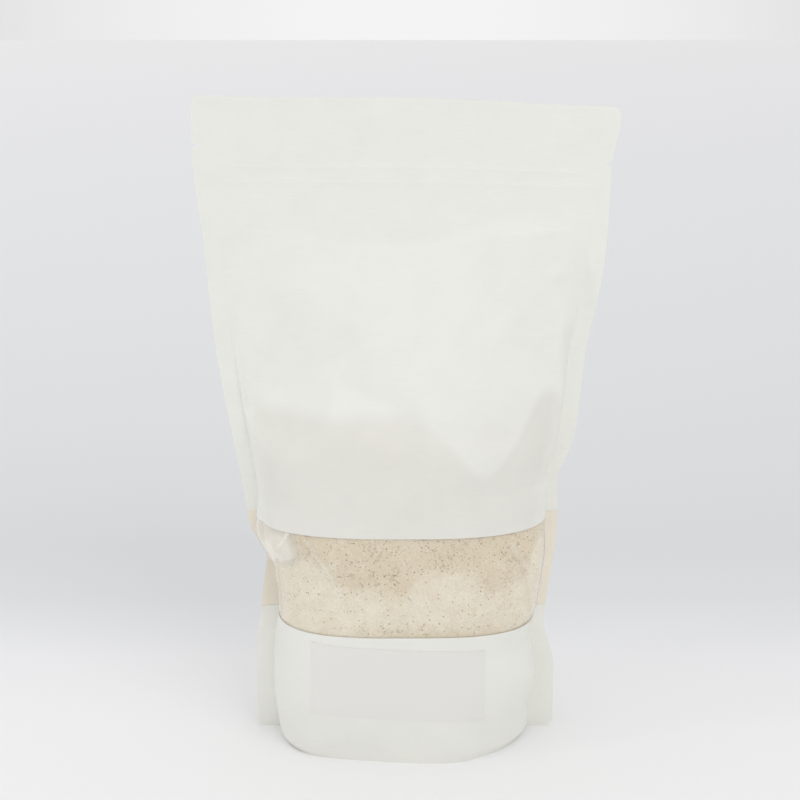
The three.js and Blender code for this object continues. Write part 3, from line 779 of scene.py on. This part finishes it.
def strewGrains(name, look, tree, surface):
    piece = bpy.data.objects.new(name, surface)
    scene.collection.objects.link(piece)
    modifier = piece.modifiers.new("grains", "NODES")
    modifier.node_group = tree
    sockets = {item.name: item.identifier for item in tree.interface.items_tree if item.in_out == "INPUT"}
    modifier[sockets["Per Square Metre"]] = look["perSquareCm"] * 1e4
    modifier[sockets["Radius"]] = look["radius"] * mm
    modifier[sockets["Flatness"]] = look["flatness"]
    modifier[sockets["Seed"]] = look["seed"]
    modifier[sockets["Material"]] = materials[look["finish"]]
    evaluated = piece.evaluated_get(bpy.context.evaluated_depsgraph_get())
    mesh = bpy.data.meshes.new_from_object(evaluated)
    piece.modifiers.clear()
    piece.data = mesh
    mesh.name = name
    print(name, len(mesh.polygons), "faces")
    return dress(piece, "flour", "flour")


grainNodes, surface = grainTree(), flourSurface()
for name, look in grains.items():
    strewGrains(name, look, grainNodes, surface)
bpy.data.meshes.remove(surface)


# Film: a clear sheet behind the paper's edges, lightly wrinkled over the flour

film = {"inset": 0.33, "thickness": 0.1, "sealSpread": 0.025, "tuck": 1.6, "columns": 290, "step": 0.7}

# Where the film lifts off the flour: folds (from, to, rise, reach on each side) and one blister
filmFolds = [
    ((-47, 111), (-35, 94), 1.1, 3.2, 1.0),
    ((-35, 94), (-30, 84), 0.5, 2.4, 2.0),
    ((-63, 106), (-61, 70), 1.0, 1.6, 2.2),
    ((50, 108), (60, 92), 0.8, 2.0, 3.0),
    ((58, 92), (61, 72), 0.6, 2.0, 2.0),
    ((20, 69), (50, 77), 0.5, 2.2, 1.2),
    ((40, 88), (55, 94), 0.5, 1.2, 2.0)]
filmBlister = ((-59, 105), (8, 5), 2.4)


def filmWrinkles(x, z):
    broad = 0.2 * layeredNoise(x, z, 19, 201)
    folds = sum(creaseRise(fold, x, z) for fold in filmFolds)
    crumple = 1 + 0.5 * layeredNoise(x + z, z - x, 6, 221, 2)
    return np.maximum(broad + folds + crumple * dentRise(filmBlister, x, z), -0.05)


def makeFilm():
    low, high = pouch["window"]
    heights = packedHeights(low - film["tuck"], high + film["tuck"], film["step"])
    outer = panelRows(-1, heights, film["inset"], film["columns"], panels["sealColumns"], relief=False)
    inset = film["inset"] + film["thickness"]
    inner = panelRows(-1, heights, inset, film["columns"], panels["sealColumns"], relief=False)
    open_ = smoothStep(low, low + 2, outer[..., 2]) * (1 - smoothStep(high - 2, high, outer[..., 2]))
    open_ = open_ * smoothStep(1, 6, -outer[..., 1])
    lift = filmWrinkles(outer[..., 0], outer[..., 2]) * open_
    outer[..., 1] -= lift
    inner[..., 1] -= lift
    # the upper left corner is made milkier, a painted highlight there, and the film is milky along the
    # seals
    x, z = outer[..., 0], outer[..., 2]
    left, right = innerEdges(z)
    corner = 2.0 * (1 - smoothStep(-60, -48, x)) * smoothStep(90, 104, z)
    sealed = smoothStep(-1.5, 0.5, np.maximum(left - x, x - right))
    inner[..., 1] += film["sealSpread"] * sealed
    standOff = np.minimum(np.maximum(lift, 0) + corner, 2.6)
    values = {"standOff": np.maximum(standOff, clearFilm["sealHaze"] * sealed)}
    return dress(sheetMesh("windowFilm", outer, inner, values=values), "film", "window_film")


makeFilm()
print("film made")


# Label: a bare rectangular sticker on the lower front

label = {
    "left": -45, "right": 38, "bottom": 22.7, "top": 59.1, "tilt": 0.043,
    "thickness": 0.16, "standOff": 0.05, "columns": 110, "rows": 50, "cornerLift": 0.35,
}


def makeLabel():
    across = np.linspace(0, 1, label["columns"] + 1)[None, :]
    up = np.linspace(0, 1, label["rows"] + 1)[:, None]
    x = label["left"] + (label["right"] - label["left"]) * across + 0 * up
    z = label["bottom"] + (label["top"] - label["bottom"]) * up
    z = z - label["tilt"] * (x - (label["left"] + label["right"]) / 2)
    heights = np.arange(20, 70, 0.5)
    dense = panelRows(-1, heights, 0, 400)
    surface = np.array([np.interp(x[0], row[:, 0], row[:, 1]) for row in dense])
    y = np.array([np.interp(z[:, k], heights, surface[:, k]) for k in range(x.shape[1])]).T
    corner = np.maximum(0, np.abs(across - 0.5) * 2 - 0.9) * np.maximum(0, np.abs(up - 0.5) * 2 - 0.8) * 50
    crease = 0.12 * np.exp(-((x + 6.5) / 0.6) ** 2) * smoothStep(0.15, 0.4, up)
    y = y - label["standOff"] - label["cornerLift"] * corner - crease
    inner = np.stack([x, y, z], -1)
    outer = inner - [0, label["thickness"], 0]
    return dress(sheetMesh("labelSticker", outer, inner), "sticker", "label")


makeLabel()
print("label made")


# Floor, light and camera

stage = {
    "floorSize": 120.0,
    "half": 1.0,  # metres behind the bag that take the first half of the bands
    # distance behind the bag in metres and the colour there: painted light and shade on the floor, brighter
    # at the bag, darker in a band behind it, brighter far off
    "paintedLightBands": [
        (0.0, "F5F5F5"), (0.09, "F2F2F3"), (0.19, "E6E7E8"), (0.29, "E3E4E5"),
        (0.74, "ECEDEE"), (1.8, "F4F5F6"), (9.0, "FBFBFC"), (40.0, "FDFDFD")],
    "rightward": 0.035,  # how much darker the floor gets from left to right
    "sky": "F4F4F5",
    "glowFall": 4.8,  # how fast the glow behind the bag falls off to the sides
    "around": 0.585,
    "overhead": 0.64,
}


def makeFloor():
    half = stage["floorSize"] / 2
    mesh = bpy.data.meshes.new("studioFloor")
    corners = [(-half, -half, 0), (half, -half, 0), (half, half, 0), (-half, half, 0)]
    mesh.from_pydata(corners, [], [(0, 1, 2, 3)])
    floor = bpy.data.objects.new("studioFloor", mesh)
    scene.collection.objects.link(floor)
    material, tree = newMaterial("paleSweepPaper")
    place = put(tree, "ShaderNodeSeparateXYZ", {
        "Vector": put(tree, "ShaderNodeTexCoord").outputs["Object"]})
    beyond = put(tree, "ShaderNodeMath", {0: place.outputs["Y"], 1: 0.0}, operation="MAXIMUM").outputs[0]
    spread = put(tree, "ShaderNodeMath", {0: beyond, 1: stage["half"]}, operation="ADD").outputs[0]
    share = put(tree, "ShaderNodeMath", {0: beyond, 1: spread}, operation="DIVIDE").outputs[0]
    # painted light and shade: the floor's colour by distance behind the bag
    paintedLightBands = put(tree, "ShaderNodeValToRGB", {"Fac": share})
    stops = paintedLightBands.color_ramp.elements
    while len(stops) < len(stage["paintedLightBands"]):
        stops.new(0.5)
    for stop, (distance, shade) in zip(stops, stage["paintedLightBands"]):
        stop.position = distance / (distance + stage["half"])
        stop.color = linear(shade)
    # a little darker to the right, as the bag and the room shade it
    aside = put(tree, "ShaderNodeMath", {0: place.outputs["X"], 1: spread}, operation="DIVIDE").outputs[0]
    value = put(tree, "ShaderNodeMath", {
        0: ramp(tree, aside, -0.25, 0.25), 1: -stage["rightward"], 2: 1 + stage["rightward"] / 2},
        operation="MULTIPLY_ADD")
    toned = put(tree, "ShaderNodeHueSaturation", {
        "Color": paintedLightBands.outputs["Color"], "Value": value.outputs[0]})
    shader = put(tree, "ShaderNodeBsdfPrincipled", {
        "Base Color": toned.outputs["Color"], "Roughness": 0.9, "Specular IOR Level": 0.1})
    put(tree, "ShaderNodeOutputMaterial", {"Surface": shader.outputs["BSDF"]})
    mesh.materials.append(material)


def makeSky():
    # A white studio, brighter overhead, with a soft glow straight behind the bag
    world = bpy.data.worlds.new("softStudio")
    world.use_nodes = True
    tree = world.node_tree
    toward = put(tree, "ShaderNodeSeparateXYZ", {
        "Vector": put(tree, "ShaderNodeTexCoord").outputs["Generated"]})
    up = put(tree, "ShaderNodeMath", {0: toward.outputs["Z"], 1: toward.outputs["Z"]}, operation="MULTIPLY")
    dome = put(tree, "ShaderNodeMath", {
        0: up.outputs[0], 1: stage["overhead"], 2: stage["around"]}, operation="MULTIPLY_ADD")
    glow = put(tree, "ShaderNodeMath", {
        0: toward.outputs["Y"], 1: stage["glowFall"], 2: 1 - stage["glowFall"]}, operation="MULTIPLY_ADD")
    strength = put(tree, "ShaderNodeMath", {0: dome.outputs[0], 1: glow.outputs[0]}, operation="MAXIMUM")
    background = tree.nodes["Background"]
    background.inputs["Color"].default_value = linear(stage["sky"])
    tree.links.new(strength.outputs[0], background.inputs["Strength"])
    world.cycles.sampling_method = "MANUAL"  # so smooth a sky needs only a small map
    world.cycles.sample_map_resolution = 128
    scene.world = world


# Lamps: place (m), size (m), power (W), the point they are aimed at (m)
lamps = {
    "softTop": {"place": (0.6, -1.08, 1.06), "size": (0.9, 0.8), "power": 4.0, "aim": (0, 0, 0.12)},
    "sideStrip": {"place": (-1.1, -0.42, 0.34), "size": (0.12, 0.45), "power": 1.2, "aim": (0, 0, 0.08)},
}


def makeLamp(name, look):
    lamp = bpy.data.lights.new(name, "AREA")
    lamp.shape = "RECTANGLE"
    lamp.size, lamp.size_y = look["size"]
    lamp.energy = look["power"]
    holder = bpy.data.objects.new(name, lamp)
    holder.location = look["place"]
    aim = mathutils.Vector(look["aim"]) - holder.location
    holder.rotation_euler = aim.to_track_quat("-Z", "Y").to_euler()
    scene.collection.objects.link(holder)


camera = {"place": (-2.6, -755, 344), "pitch": 13, "focal": 1600, "frame": 800}


def makeCamera():
    data = bpy.data.cameras.new("camera")
    data.sensor_width = 36
    data.lens = data.sensor_width * camera["focal"] / camera["frame"]
    data.clip_start, data.clip_end = 0.05, 100
    eye = bpy.data.objects.new("camera", data)
    eye.location = [(p + s) * mm for p, s in zip(camera["place"], frameShift)]
    eye.rotation_euler = (math.radians(90 - camera["pitch"]), 0, 0)
    scene.collection.objects.link(eye)
    scene.camera = eye


makeFloor()
makeSky()
for name, look in lamps.items():
    makeLamp(name, look)
makeCamera()
scene.view_settings.view_transform = "Standard"
print("stage ready")
